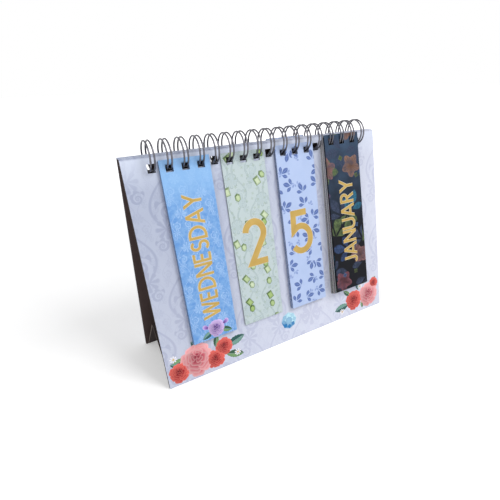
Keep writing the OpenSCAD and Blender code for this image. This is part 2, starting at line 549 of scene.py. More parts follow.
def feed_grained(shader, colour, roughness, strength):
    """Links a colour and a roughness, both touched by the shared paper grain, and its bump."""
    grain = use(PAPER_GRAIN, colour.tree)
    toned = tinted(colour, grain["Tone"])
    feed(shader, toned, grain["Sheen"] * roughness, grain["Fibre"], strength)


def paper_finish(name, print_colour, roughness, strength=0.3, gloss=0.35):
    """Paper with the shared grain. print_colour(place) gives the colour of its print."""
    material, tree, shader = new_finish(name, Specular_IOR_Level=gloss)
    printed = print_colour(use(SHEET_PLACE, tree)["Place"])
    feed_grained(shader, printed, roughness, strength)
    return material


# %% Cover, lining and pasteboard
def cover_print(place):
    """Lilac paper: darker and bluer at the upper left and paler at the lower right, as painted
    shading, and the damask figure over both, with a smaller one between its scrolls. Below the
    ridge a painted highlight makes a band paler."""
    large = use(DAMASK, Place=place, Width=37.0, Height=52.0)["Figure"]
    small = use(DAMASK, Place=place, Width=12.3, Height=52.0 / 3)["Figure"]
    figure = calc("MAXIMUM", large, small * 0.4)
    x, y, _ = split(place)
    # Painted shading: ground and thread are darker and bluer towards the upper left, and paler towards
    # the lower right.
    along = ramp(x + y, -45.0, 135.0)
    ground = blend(along, rgba(181, 189, 210), rgba(217, 221, 237))
    thread = blend(along, rgba(163, 171, 196), rgba(204, 208, 228))
    # Painted highlight: a pale band just below the ridge, sparing the ridge strip itself.
    painted_top_highlight = ramp(y, 1.5, 17.0, 0.75, 0.0) * ramp(y, 0.6, 1.4)
    return blend(painted_top_highlight, blend(figure, ground, thread), rgba(222, 230, 248))


def plain_print(colour):
    """A print of one colour, clouded a little."""

    def clouded(place):
        darker = tuple(c * 0.72 for c in colour[:3]) + (1.0,)
        return blend(noise(place, 0.06, 4.0), darker, colour)

    return clouded


def pasteboard_finish(name, face, edge):
    """Pressed pulp: flecks of darker and lighter fibre, rough all over. Where the sheet is cut,
    its edge takes the given edge colour: raw board on the gusset, painted shade on the tent's boards."""
    material, tree, shader = new_finish(name, Specular_IOR_Level=0.2)
    fleck = noise(coordinates(tree), 1800.0, 6.0)
    sides = use(SHEET_SIDES, tree)
    colour = blend(sides["Front"] + sides["Back"], edge, face)
    feed(shader, tinted(colour, fleck * 0.7 + 0.65), fleck * 0.2 + 0.75, fleck, 0.5, 0.0001)
    return material


COVER = paper_finish("lilac damask paper", cover_print, 0.62)
LINING = paper_finish("brown lining paper", plain_print(rgba(86, 70, 68)), 0.8)
# Painted shade: the tent boards' cut edges are near-black and the gusset's faces dark brown; the
# gusset's lighter edges are the raw board.
PASTEBOARD = pasteboard_finish("grey pasteboard", rgba(70, 62, 60), rgba(58, 52, 52))
GUSSET_BOARD = pasteboard_finish("dark gusset board", rgba(60, 50, 50), rgba(118, 106, 100))
print("board finishes:", COVER.name, LINING.name, PASTEBOARD.name, GUSSET_BOARD.name)

# %% [markdown]
# ## Finishes of the cards
# Each stack has its own print: a blue damask for the weekdays, sage outlines with cut green
# gems for the tens, dark blue sprigs on pale blue for the units, and muted blossoms on
# near-black for the months. A seed shifts the print, so that no two cards of a stack repeat.
# A card is white on its back. Its cut edge is a greyed tone of its print, painted dark as shade
# on the sides, and it stays white where it faces up. The thick stack of months shows its edges
# most: the front three are painted black as shadow, and the others are grey and pale by turns,
# so that its side shows fine lines.

# %% Weekdays and tens
def shifted_damask(place, seed, width, height):
    """The damask of a card, shifted by the card's seed both ways."""
    shifted = vector_calc("ADD", place, (seed, seed, 0.0))
    return use(DAMASK, Place=shifted, Width=width, Height=height)


def scattered(place, spacing, seed, looseness=0.5, turn=1.0):
    """The outputs of the scatter group: a spot in each cell and two random numbers."""
    cells = {"Place": place, "Spacing": spacing, "Seed": seed, "Looseness": looseness}
    return use(SCATTER, Turn=turn, **cells)


def weekday_print(place, seed):
    """A blue damask, lighter inside its figure and darker along its edges, over a mottle. Towards
    the holes a painted highlight fades it into plain light blue."""
    mottle = ramp(noise(place, 0.4, 5.0, 0.7), 0.38, 0.62)
    ground = blend(mottle, rgba(99, 152, 216), rgba(135, 179, 229))
    scrolls = shifted_damask(place, seed, 13.0, 18.0)
    lighter = blend(scrolls["Figure"] * 0.5, ground, rgba(176, 208, 246))
    drawn = blend(scrolls["Outline"] * 0.7, lighter, rgba(88, 138, 206))
    _, down, _ = split(place)
    # Painted highlight: plain light blue over the print near the card's top.
    return blend(ramp(down, 14.0, 30.0, 0.75, 0.0), drawn, rgba(148, 194, 242))


def tens_print(place, seed):
    """Sage: grey-green outlines of a damask and small blooms, and cut gems of two greens."""
    scrolls = shifted_damask(place, seed, 18.0, 26.0)
    ground = blend(scrolls["Figure"] * 0.6, rgba(194, 208, 210), rgba(182, 199, 204))
    drawn = blend(scrolls["Outline"] * 0.8, ground, rgba(126, 148, 142))
    bud = use(BLOOM, Spot=scattered(place, 4.6, seed + 31)["Spot"], Size=1.1, Petals=4.0)
    drawn = blend(bud["Fill"] * 0.35, drawn, rgba(150, 172, 146))
    for spacing, size, sides, offset in ((13.0, 2.3, 6.0, 77.0), (17.0, 2.5, 4.0, 19.0)):
        cells = scattered(place, spacing, seed + offset, 0.4, 0.12)
        stone = use(GEM, Spot=cells["Spot"], Size=size, Sides=sides)
        dark = blend(cells["Tint"], rgba(62, 92, 38), rgba(104, 130, 84))
        light = blend(cells["Tint"], rgba(160, 190, 104), rgba(214, 228, 196))
        shown = stone["Fill"] * (cells["Chance"] > 0.2)
        drawn = blend(shown, drawn, blend(stone["Facet"], dark, light))
    return drawn


# %% Units and months
LEAF_INKS = [rgba(52, 112, 140), rgba(58, 78, 118), rgba(98, 116, 76), rgba(62, 72, 96)]
BLOOM_INKS = [rgba(142, 104, 104), rgba(146, 112, 98), rgba(104, 88, 116), rgba(130, 80, 90)]
BUD_INKS = [rgba(104, 118, 76), rgba(76, 100, 140), rgba(142, 106, 106)]


def units_print(place, seed):
    """Pale blue with dark blue ribbed sprigs at all angles, and paler small ones below."""
    drawn = blend(noise(place, 0.12, 2.0), rgba(174, 194, 232), rgba(190, 206, 240))
    for spacing, offset, looseness, size, rarity, dark, light in (
        (7.0, 53, 0.8, 3.2, 0.55, rgba(122, 144, 200), rgba(160, 180, 224)),
        (10.0, 0, 0.6, 6.6, 0.12, rgba(52, 76, 142), rgba(126, 150, 206)),
    ):
        cells = scattered(place, spacing, seed + offset, looseness)
        leaves = use(SPRIG, Spot=cells["Spot"], Size=size)
        shown = leaves["Fill"] * (cells["Chance"] > rarity)
        drawn = blend(shown, drawn, blend(leaves["Rib"], light, dark))
    return drawn


def palette(chance, colours):
    """One of the colours, picked by a random number from 0 to 1."""
    node = chance.tree.nodes.new("ShaderNodeValToRGB")
    node.color_ramp.interpolation = "CONSTANT"
    stops = node.color_ramp.elements
    while len(stops) < len(colours):
        stops.new(1.0)
    for number, colour in enumerate(colours):
        stops[number].position = number / len(colours)
        stops[number].color = colour
    link(chance, node.inputs[0])
    return Value(node.outputs["Color"])


def months_print(place, seed):
    """Near-black, with a clouded painted reflection that turns it bluer towards the top, and three
    layers: broad ribbed leaves, large blooms, and a few buds. Each takes a muted colour by
    chance, thin in places like a wash, and a bloom darkens to its middle."""
    _, down, _ = split(place)
    # Painted reflection: a clouded bluish sheen towards the top of the card.
    painted_reflection = ramp(down, 0.0, 60.0, 0.9, 0.0) * noise(place, 0.1, 3.0)
    colour = blend(painted_reflection, rgba(16, 17, 24), rgba(84, 110, 142))
    wash = ramp(noise(place, 0.3, 3.0), 0.35, 0.6, 0.45, 1.0)
    cells = scattered(place, 15.0, seed, 0.8)
    leaves = use(SPRIG, Spot=cells["Spot"], Size=14.0)
    leaf_ink = tinted(palette(cells["Tint"], LEAF_INKS), leaves["Rib"] * 0.3 + 0.7)
    colour = blend(leaves["Fill"] * wash, colour, leaf_ink)
    for spacing, size, petals, rarity, inks in (
        (19.0, 7.6, 5.0, 0.35, BLOOM_INKS),
        (11.0, 1.8, 4.0, 0.7, BUD_INKS),
    ):
        cells = scattered(place, spacing, seed + 10 * size, 0.7)
        flower = use(BLOOM, Spot=cells["Spot"], Size=size, Petals=petals, Depth=0.16)
        shade = (flower["Core"] * 0.6 + 0.4) * (flower["Rib"] * 0.12 + 0.88)
        shown = (cells["Chance"] > rarity) * (flower["Fill"] * wash)
        colour = blend(shown, colour, tinted(palette(cells["Tint"], inks), shade))
    return colour


# %% A card's finish
def card_finish(name, printed, edge, gloss, seed):
    """Coated card: its print on the front, white paper on the back, and on the cut sides the given
    edge colour as painted shade. Where the edge looks up, at the top and on the floor of the
    punched holes, it is left white."""

    def whole_card(place):
        sides = use(SHEET_SIDES, place.tree)
        # Painted shade: cut sides take the darker edge colour, while upward edges and the back stay
        # white.
        back_or_facing_up = calc("MAXIMUM", sides["Back"], sides["Upper"])
        blank = blend(back_or_facing_up, edge, rgba(236, 236, 238))
        return blend(sides["Front"], blank, printed(place, seed))

    return paper_finish(name, whole_card, 0.6, 0.15, gloss)


# %% [markdown]
# ## Foil, inks and wire
# The words and numbers are hot-stamped gold foil, each with a thin pale rim around it, a
# painted highlight along the stamped edge. Flowers are printed in inks, whose colours sit on
# the corners of their shapes. The binding wire is dark plated steel, drawn and a little scratched.

# %% Foil, rim, ink and wire finishes
def foil_finish():
    """Gold foil: a metal with a fine grain pressed through from the card."""
    material, tree, shader = new_finish("gold foil", Metallic=1.0)
    cloud = noise(use(SHEET_PLACE, tree)["Place"], 0.09, 2.0)
    colour = blend(cloud, rgba(166, 136, 72), rgba(204, 174, 106))
    feed_grained(shader, colour, 0.42, 0.25)
    return material


def ink_finish():
    """Printed ink: the colour stored at the shape's corners, over the paper's grain."""
    material, tree, shader = new_finish("printed ink", Specular_IOR_Level=0.35)
    stored = add("Attribute", tree=tree, attribute_name="ink")["Color"]
    feed_grained(shader, stored, 0.55, 0.2)
    return material


def wire_finish():
    """Dark plated steel: fine scratches along X, brighter where it is rubbed."""
    material, tree, shader = new_finish("dark plated wire", Metallic=1.0)
    where = coordinates(tree)
    scratch = noise(vector_calc("MULTIPLY", where, (0.2, 1.0, 1.0)), 6000.0, 4.0)
    colour = blend(noise(where, 160.0, 3.0), rgba(80, 80, 86), rgba(124, 123, 130))
    feed(shader, colour, scratch * 0.25 + 0.18, scratch, 0.2, 0.00002)
    return material


FOIL = foil_finish()
INK = ink_finish()
WIRE = wire_finish()
# Painted highlight: a cream rim along the edges of the foil.
RIM_HIGHLIGHT = paper_finish("painted highlight rim", plain_print(rgba(240, 232, 208)), 0.5)

# %% Give the CAD nodes their finishes
MONTHS = "january february march april may june july august september october november december"
CARD_STACKS = {
    "day": "monday tuesday wednesday thursday friday saturday sunday".split(),
    "tens": [f"tens_{digit}" for digit in range(4)],
    "units": [f"units_{digit}" for digit in range(10)],
    "month": MONTHS.split(),
}
# The second value of each is the cut edge's colour, darkened as painted shade.
STACK_PRINTS = {
    "day": (weekday_print, rgba(100, 112, 142), 0.35),
    "tens": (tens_print, rgba(126, 134, 134), 0.35),
    "units": (units_print, rgba(104, 112, 138), 0.35),
    "month": (months_print, rgba(168, 164, 166), 0.14),
}
# Painted shadow: near-black edges of the front three months, for the shadow line at the stack's front.
SHADOWED_FRONT_EDGE = rgba(34, 33, 38)
PALE_EDGE = rgba(224, 223, 222)
FIRST_SEED = 160.0
SEED_STEP = 37.0
BOARD_FINISHES = {
    "front_cover": COVER,
    "rear_cover": COVER,
    "ridge_strip": COVER,
    "front_liner": LINING,
    "rear_liner": LINING,
    "front_board": PASTEBOARD,
    "rear_board": PASTEBOARD,
    "gusset_front": GUSSET_BOARD,
    "gusset_rear": GUSSET_BOARD,
}


def edge_colour(stack, number):
    """The colour of a card's cut edge, from its stack and its number from the first card. Apart from
    the pale month edges, it is painted dark as shade.
    """
    if stack == "month" and number < 3:
        return SHADOWED_FRONT_EDGE
    if stack == "month" and number % 4 > 1:
        return PALE_EDGE
    return STACK_PRINTS[stack][1]


for name, finish in BOARD_FINISHES.items():
    nodes[name].material_slots[0].material = finish
for stack, cards in CARD_STACKS.items():
    printed, _, gloss = STACK_PRINTS[stack]
    for number, card in enumerate(cards):
        edge = edge_colour(stack, number)
        seed = FIRST_SEED + SEED_STEP * number
        finish = card_finish(f"{card} card", printed, edge, gloss, seed)
        nodes[f"card_{card}"].material_slots[0].material = finish
print("finished nodes:", len(BOARD_FINISHES) + sum(len(cards) for cards in CARD_STACKS.values()))

# %% [markdown]
# ## The binding wire
# One wire is bent to and fro into double loops and then closed into a comb. All of it lies
# on a cylinder, so its path can be drawn on that cylinder unrolled: a square wave, with the
# distance along the ridge one way and the distance round the cylinder the other, and with
# its corners rounded. A round section is then carried along the path.

# %% Path and tube
LOOPS = 17
LOOP_PITCH = 8.467
ROW_SHIFT = -0.6
LOOP_RADIUS = 7.5
TWIN_GAP = 2.1
WIRE_RADIUS = 0.474
BEND_RADIUS = 0.75
RING_STEP = 0.55
ROOT_ANGLE = radians(-81.0)
TIP_ANGLE = radians(267.0)


def square_wave():
    """Corners of the wire's path on the unrolled cylinder, as (along, round). Each loop goes
    from root to tip at one side, over by the twin gap, and back to the root at the other."""
    left = ROW_SHIFT + (np.arange(LOOPS) - (LOOPS - 1) / 2) * LOOP_PITCH - TWIN_GAP / 2
    along = np.stack([left, left, left + TWIN_GAP, left + TWIN_GAP], 1).ravel()
    turns = np.tile([ROOT_ANGLE, TIP_ANGLE, TIP_ANGLE, ROOT_ANGLE], LOOPS)
    return np.stack([along, turns * LOOP_RADIUS], 1)


def rounded(corners, radius, steps=7):
    """Replaces each right-angled corner by a quarter circle. From the corner, the circle's
    middle lies radius back along the way in and radius on along the way out, and a point
    on it is the middle minus radius * (way out cos t - way in sin t)."""
    way = np.diff(corners, axis=0)
    way /= np.linalg.norm(way, axis=1)[:, None]
    way_in, way_out = way[:-1, None], way[1:, None]
    middle = corners[1:-1, None] + radius * (way_out - way_in)
    turn = np.linspace(0, pi / 2, steps)[None, :, None]
    bends = middle - radius * (way_out * np.cos(turn) - way_in * np.sin(turn))
    return np.concatenate([corners[:1], bends.reshape(-1, 2), corners[-1:]])


def even_steps(route, step):
    """The route with extra points, so that no two neighbours are further apart than step."""
    length = np.concatenate([[0], np.cumsum(np.linalg.norm(np.diff(route, axis=0), axis=1))])
    extra = np.arange(0, length[-1], step)
    at = np.unique(np.concatenate([length, extra]).round(4))
    return np.stack([np.interp(at, length, route[:, k]) for k in range(2)], 1)


def tube_on_cylinder(route, radius, sides=10):
    """Rings of a round section along a route on the cylinder. With n the direction out from
    the cylinder's axis, t the route's direction and b = t x n, a ring is the route's point +
    radius * (n cos s + b sin s)."""
    turn = route[:, 1] / LOOP_RADIUS
    out = np.stack([np.zeros_like(turn), np.cos(turn), np.sin(turn)], 1)
    points = loop_centre / MM * [0.0, 1.0, 1.0] + LOOP_RADIUS * out
    points[:, 0] = route[:, 0]
    along = np.gradient(points, axis=0)
    along /= np.linalg.norm(along, axis=1)[:, None]
    side = np.cross(along, out)
    around = np.linspace(0, 2 * pi, sides, endpoint=False)[None, :, None]
    section = out[:, None] * np.cos(around) + side[:, None] * np.sin(around)
    return (points[:, None] + radius * section) * MM


# %% The twin-loop wire
wire_route = even_steps(rounded(square_wave(), BEND_RADIUS), RING_STEP)
wire_points, wire_faces = closed_form(tube_on_cylinder(wire_route, WIRE_RADIUS))
wire = make_piece(
    "binding_wire", wire_points, wire_faces, WIRE, "front_panel", smooth=True
)
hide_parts("twin_loop_wire")
print("wire:", len(wire_route), "rings,", len(wire_faces), "faces")

# %% [markdown]
# ## Pens and letters
# The letters are drawn with a flat pen, as on plain geometric capitals: each is a few strokes
# of even width, straight or along an ellipse. Capital height is 1, and a stroke's middle line
# stays half a pen inside the top and bottom. Steep strokes that end on the base line or the
# cap line are cut level there.

# %% Strokes
PEN = 0.135
HALF = PEN / 2
TOP, BASE = 1 - HALF, HALF


def line(*numbers):
    """A stroke through corners, given as x and y by turns."""
    return np.array(numbers, float).reshape(-1, 2)


def arc(x, y, width, height, start, end):
    """Points on an ellipse about (x, y), from one angle to another, in degrees."""
    turn = np.radians(np.linspace(start, end, 3 + int(abs(end - start) / 12)))
    return np.stack([x + width * np.cos(turn), y + height * np.sin(turn)], 1)


def path(*parts):
    """One stroke out of lines and arcs laid end to end, without the points that repeat."""
    corners = np.concatenate(parts)
    apart = np.linalg.norm(np.diff(corners, axis=0), axis=1) > 1e-6
    return corners[np.concatenate([[True], apart])]


def zigzag(*numbers):
    """Separate straight strokes from each corner to the next."""
    corners = line(*numbers)
    return [corners[k : k + 2] for k in range(len(corners) - 1)]


def bar(height, length):
    """A level stroke to the right of the stem."""
    return line(0, height, length, height)


def bowl(low, high, x, width):
    """A closed loop up the stem from low to high, right to x, and round by half an ellipse."""
    level = line(0, low, 0, high, x - 0.02, high)
    return path(level, arc(x, (low + high) / 2, width, (high - low) / 2, 90, -90), line(0, low))


def stroke_rings(stroke, pen, height, looped):
    """Rings of a flat pen stroke: left and right of each point by half a pen, low and high.
    Where two parts meet, the offset runs along the sum of their normals, over one plus the
    normals' product, which keeps the width. It is capped where the turn is very sharp."""
    step = np.diff(stroke, axis=0, append=stroke[:1]) if looped else np.diff(stroke, axis=0)
    step /= np.linalg.norm(step, axis=1)[:, None]
    normal = np.stack([-step[:, 1], step[:, 0]], 1)
    before = np.roll(normal, 1, 0) if looped else np.concatenate([normal[:1], normal])
    after = normal if looped else np.concatenate([normal, normal[-1:]])
    product = np.einsum("ij,ij->i", before, after)[:, None]
    offset = (before + after) / np.maximum(1 + product, 0.36)
    if not looped:
        for end in (0, -1):
            if stroke[end, 1] in (0.0, 1.0) and abs(normal[end, 0]) > 0.3:
                offset[end] = [1 / normal[end, 0], 0.0]
    left, right = stroke + offset * pen / 2, stroke - offset * pen / 2
    outline = np.stack([left, right, right, left], 1)
    rise = np.broadcast_to([0.0, 0.0, height, height], (len(outline), 4))
    return np.concatenate([outline, rise[..., None]], 2)


def pen_stroke(stroke, pen, height):
    """A closed form for one stroke. A stroke whose ends meet becomes a closed loop."""
    looped = bool(np.allclose(stroke[0], stroke[-1]))
    rings = stroke_rings(stroke[:-1] if looped else stroke, pen, height, looped)
    return closed_form(rings, looped)


# %% Capitals and figures
BOWL = 0.5 - BASE
SMALL_BOWL = (TOP - 0.5) / 2
UPPER, LOWER = 0.5 + SMALL_BOWL, 0.5 - SMALL_BOWL
STEM = line(0, 0, 0, 1)
OPEN_BOWL = bowl(0.5, TOP, 0.2, 0.2)[1:]
CAPITALS = {
    "A": (0.64, [*zigzag(0, 0, 0.32, 1, 0.64, 0), line(0.12, 0.3, 0.52, 0.3)]),
    "B": (0.42, [bowl(0.5, TOP, 0.2, 0.18), bowl(BASE, 0.5, 0.22, 0.2)]),
    "C": (0.62, [arc(0.4, 0.5, 0.4, BOWL, 48, 312)]),
    "D": (0.56, [bowl(BASE, TOP, 0.12, 0.44)]),
    "E": (0.4, [STEM, bar(TOP, 0.4), bar(0.5, 0.36), bar(BASE, 0.4)]),
    "F": (0.38, [STEM, bar(TOP, 0.38), bar(0.5, 0.34)]),
    "G": (0.7, [path(arc(0.4, 0.5, 0.4, BOWL, 48, 330), line(0.76, 0.46, 0.44, 0.46))]),
    "H": (0.54, [STEM, line(0.54, 0, 0.54, 1), bar(0.5, 0.54)]),
    "I": (0.0, [STEM]),
    "J": (0.32, [path(line(0.32, 1, 0.32, 0.26), arc(0.16, 0.26, 0.16, 0.26 - BASE, 0, -150))]),
    "L": (0.38, [STEM, bar(BASE, 0.38)]),
    "M": (0.7, [STEM, *zigzag(0, 1, 0.35, 0.2, 0.7, 1, 0.7, 0)]),
    "N": (0.56, [STEM, *zigzag(0, 1, 0.56, 0, 0.56, 1)]),
    "O": (0.8, [arc(0.4, 0.5, 0.4, BOWL, 0, 360)]),
    "P": (0.4, [STEM, OPEN_BOWL]),
    "R": (0.42, [STEM, OPEN_BOWL, line(0.2, 0.5, 0.42, 0)]),
    "S": (0.42, [
        path(
            arc(0.21, UPPER, 0.19, SMALL_BOWL, 30, 270),
            arc(0.21, LOWER, 0.21, SMALL_BOWL, 78, -150),
        ),
    ]),
    "T": (0.5, [bar(TOP, 0.5), line(0.25, TOP, 0.25, 0)]),
    "U": (0.52, [path(line(0, 1, 0, 0.3), arc(0.26, 0.3, 0.26, 0.3 - BASE, 180, 360), line(0.52, 1))]),
    "V": (0.6, zigzag(0, 1, 0.3, 0, 0.6, 1)),
    "W": (0.86, zigzag(0, 1, 0.22, 0, 0.43, 1, 0.64, 0, 0.86, 1)),
    "Y": (0.58, [line(0, 1, 0.29, 0.44), line(0.58, 1, 0.29, 0.44), line(0.29, 0.5, 0.29, 0)]),
}
FIGURES = {
    "0": (0.48, [arc(0.24, 0.5, 0.24, BOWL, 0, 360)]),
    "1": (0.2, [line(0.2, 0, 0.2, 1), line(0, 0.76, 0.2, TOP)]),
    "2": (0.46, [path(arc(0.22, 0.7, 0.21, TOP - 0.7, 172, -34), line(0.08, BASE, 0.46, BASE))]),
    "3": (0.44, [
        path(arc(0.2, UPPER, 0.2, SMALL_BOWL, 150, -90), line(0.16, 0.5)),
        path(line(0.16, 0.5), arc(0.2, LOWER, 0.24, SMALL_BOWL, 90, -150)),
    ]),
    "4": (0.5, [line(0.37, 1, 0, 0.27, 0.5, 0.27), line(0.37, 1, 0.37, 0)]),
    "5": (0.46, [
        path(line(0.4, TOP, 0.05, TOP, 0.03, 0.55), arc(0.21, 0.35, 0.25, 0.35 - BASE, 112, -145)),
    ]),
    "6": (0.46, [arc(0.23, 0.32, 0.23, 0.32 - BASE, 0, 360), line(0.36, 1, 0.03, 0.42)]),
    "7": (0.46, [line(0, TOP, 0.45, TOP, 0.15, 0)]),
    "8": (0.44, [
        arc(0.22, 0.74, 0.18, TOP - 0.74, 0, 360),
        arc(0.22, 0.29, 0.22, 0.29 - BASE, 0, 360),
    ]),
    "9": (0.46, [arc(0.23, 0.68, 0.23, TOP - 0.68, 0, 360), line(0.1, 0, 0.43, 0.58)]),
}
print("drawn:", len(CAPITALS), "capitals and", len(FIGURES), "figures")

# %% [markdown]
# ### Words on cards
# A word runs up the card, so its letters' tops point left. A figure stands upright. Both lie
# close to the card's middle. The seat of each card is measured on its own mesh: the face
# furthest out, the edge furthest up and the middle of its width.

# %% Seats of the cards
SHOWN_CARDS = {"day": "wednesday", "tens": "tens_2", "units": "units_5", "month": "january"}
CARD_LAYERS = {}
for stack, shown in SHOWN_CARDS.items():
    cards = CARD_STACKS[stack]
    for number, card in enumerate(cards):
        in_front = number >= cards.index(shown)
        CARD_LAYERS[card] = (in_front, len(cards) - 1 - number if in_front else number)


def card_seat(card):
    """The seat at the top middle of a card's printed face. A card in front leans by the
    board's angle and its fan. A flipped one leans the other way, its print facing forward."""
    in_front, layer = CARD_LAYERS[card]
    lean = (LEAN + layer * FAN_STEP) * (1 if in_front else -1)
    _, axes = seat((0, 0, 0), lean)
    mesh = nodes[f"card_{card}"].data
    points = np.empty(len(mesh.vertices) * 3, np.float32)
    mesh.vertices.foreach_get("co", points)
    right, up, out = axes @ points.reshape(-1, 3).T
    corner = np.array([(right.min() + right.max()) / 2, up.max(), out.max()])
    return corner @ axes, axes


card_seats = {card: card_seat(card) for card in CARD_LAYERS}
print("front face of the January card:", card_seats["january"][0].round(4))

# %% Lettering
LETTER_PLACES = {
    "day": (0.0, -54.0, 10.6),
    "tens": (1.2, -52.4, 28.4),
    "units": (-1.0, -53.2, 28.0),
    "month": (0.6, -56.8, 11.3),
}
LETTER_SPACE = 0.2
FOIL_HEIGHT = 0.03
RIM_HEIGHT = 0.012
RIM_WIDTH = 0.4
STROKE_RISE = 0.0008


def word_strokes(word, glyphs):
    """All strokes of a word in units of cap height, and its length from edge to edge."""
    strokes, place = [], HALF
    for letter in word:
        width, parts = glyphs[letter]
        strokes += [(part, place) for part in parts]
        place += width + LETTER_SPACE
    return strokes, place - LETTER_SPACE + HALF


def lettering(word, glyphs, letter_place, upright, pen, thickness):
    """Shapes of a word in card millimetres. Its place is how far its middle lies across and up
    from the top of the card, and its cap height. A running word is turned a quarter to the
    left: across = -up, up = along. Each stroke is a hair higher than the one before, so that
    no two faces lie in one plane where strokes meet."""
    middle_across, middle_up, height = letter_place
    strokes, length = word_strokes(word, glyphs)
    shapes = []
    for number, (part, place) in enumerate(strokes):
        points, faces = pen_stroke(part, pen, thickness + STROKE_RISE * number)
        along = (points[:, 0] + place - length / 2) * height
        up = (points[:, 1] - 0.5) * height
        across = middle_across + (along if upright else -up)
        rise = middle_up + (up if upright else along)
        shapes.append((np.stack([across, rise, points[:, 2]], 1), faces, np.ones(3)))
    return shapes


def letter_card(stack, card):
    """Gold foil on one card, and under it a painted highlight: a pale rim of the same strokes, a
    little wider.
    """
    is_figure = card[-1].isdigit()
    text = card[-1] if is_figure else card.upper()
    glyphs = FIGURES if is_figure else CAPITALS
    letter_place = LETTER_PLACES[stack]
    node = f"card_{card}"
    for label, pen, thickness, finish in (
        ("rim", PEN + RIM_WIDTH / letter_place[2], RIM_HEIGHT, RIM_HIGHLIGHT),
        ("foil", PEN, FOIL_HEIGHT, FOIL),
    ):
        points, faces, _ = joined(lettering(text, glyphs, letter_place, is_figure, pen, thickness))
        points = on_seat(points, card_seats[card])
        make_piece(f"{label}_{card}", points, faces, finish, node)


for stack, cards in CARD_STACKS.items():
    for card in cards:
        letter_card(stack, card)
print("lettered cards:", len(CARD_LAYERS))

# %% [markdown]
# ## Printed flowers
# The board's lower corners carry a printed bunch of blossoms, and a cut stone lies between
# them. A blossom is layers of overlapping petals that get smaller and deeper in colour
# towards the middle. Printing has no depth, so each petal is a plate a few hundredths of a
# millimetre high, drawn as rings that shrink towards its foot, each ring with its own ink.

# %% Plates, petals and leaves
LAYER_STEP = 0.004
GOLDEN_ANGLE = 137.5
BLOSSOM_PETALS = 7
DAISY_PETALS = 8


def moved(outline, x, y, turn):
    """An outline turned by an angle in degrees and moved to (x, y)."""
    c, s = cos(radians(turn)), sin(radians(turn))
    return outline @ np.array([[c, s], [-s, c]]) + [x, y]


def plate(outline, centre, shares, height, inks):
    """A thin printed shape: ring k is centre + share k * (outline - centre), in ink k. The
    first ring is drawn twice, on the sheet and at the plate's height, and makes its edge."""
    shrink = np.array([shares[0], *shares])[:, None, None]
    level = np.asarray(centre) + shrink * (outline - centre)
    rise = np.full((*level.shape[:2], 1), height)
    rise[0] = 0.0
    points, faces = closed_form(np.concatenate([level, rise], 2))
    return points, faces, np.repeat([inks[0], *inks], len(outline), axis=0)


def petal_outline(length, width, frill=0.0, points=22):
    """A drop shape from its foot at (0, 0) to its tip at (0, length). With s going once round,
    up = length * (1 - cos s) / 2, and across = width / 2 * sin s, narrowed towards the foot.
    A frill waves the tip."""
    s = np.linspace(0, 2 * pi, points, endpoint=False)
    share = (1 - np.cos(s)) / 2
    across = width / 2 * np.sin(s) * (0.35 + 0.75 * share)
    up = length * share * (1 + frill * np.cos(5 * s))
    return np.stack([across, up], 1)


def leaf_shapes(x, y, length, width, turn, height, light, dark):
    """A leaf in two halves, one lit and one in shade, that meet at the midrib. With t from 0
    to 1 along the leaf, half its width is width / 2 * sin(pi t) ^ 0.8, and teeth notch it."""
    t = np.linspace(0, 1, 15)
    half = width / 2 * np.sin(pi * t) ** 0.8 * (1 + 0.07 * np.cos(2 * pi * 7 * t))
    shapes = []
    for side, ink, rim in ((1, light, dark), (-1, dark, light)):
        edge = np.stack([side * half, length * t], 1)
        rib = np.stack([np.full(5, side * 0.06), length * np.linspace(0.9, 0.1, 5)], 1)
        outline = moved(np.concatenate([edge, rib]), x, y, turn)
        centre = moved(np.array([side * width * 0.14, length * 0.45]), x, y, turn)
        inks = [(ink * 2 + rim) / 3, ink, ink * 1.12]
        shapes.append(plate(outline, centre, (1.0, 0.8, 0.35), height, inks))
    return shapes


def blossom_shapes(x, y, radius, turn, height, pale, mid, deep, layers=6):
    """A full blossom. Layer k has the radius times 1 - 0.15 k, one petal less, and lies a
    little higher, as on a bloom seen from below. The petals of a layer turn on by the golden
    angle. Each is palest at its rim and deep at its foot, and lighter to the upper right."""
    shapes = []
    for layer in range(layers):
        reach = radius * (1 - 0.15 * layer)
        count = max(BLOSSOM_PETALS - layer, 3)
        width = reach * min(6.9 / count, 1.5)
        middle = y + 0.05 * radius * layer
        for number in range(count):
            angle = turn + GOLDEN_ANGLE * layer + 360.0 * number / count
            shade = (1 - 0.07 * layer) * (0.9 + 0.16 * cos(radians(angle + 40)))
            stretch = 1.0 + 0.06 * sin(2.4 * number + layer)
            outline = moved(petal_outline(reach * stretch, width, 0.035), x, middle, angle)
            foot = moved(np.array([0.0, reach * 0.2]), x, middle, angle)
            inks = [pale * shade, pale * shade, mid * shade, deep * shade]
            top = height + LAYER_STEP * (layer * BLOSSOM_PETALS + number)
            shapes.append(plate(outline, foot, (1.0, 0.93, 0.66, 0.15), top, inks))
    return shapes


def daisy_shapes(x, y, radius, turn, height, petal_ink, eye_ink):
    """A flat small flower: narrow petals about a round eye."""
    shapes = []
    for number in range(DAISY_PETALS):
        angle = turn + 360.0 / DAISY_PETALS * number
        outline = moved(petal_outline(radius, radius * 0.46), x, y, angle)
        inks = [petal_ink, petal_ink * 0.95, petal_ink * 0.7]
        top = height + LAYER_STEP * (number % 2)
        shapes.append(plate(outline, (x, y), (1.0, 0.7, 0.3), top, inks))
    eye = np.array([x, y]) + radius * 0.24 * arc(0, 0, 1, 1, 0, 330)
    shapes.append(plate(eye, (x, y), (1.0, 0.5), height + 3 * LAYER_STEP, [eye_ink * 0.7, eye_ink]))
    return shapes


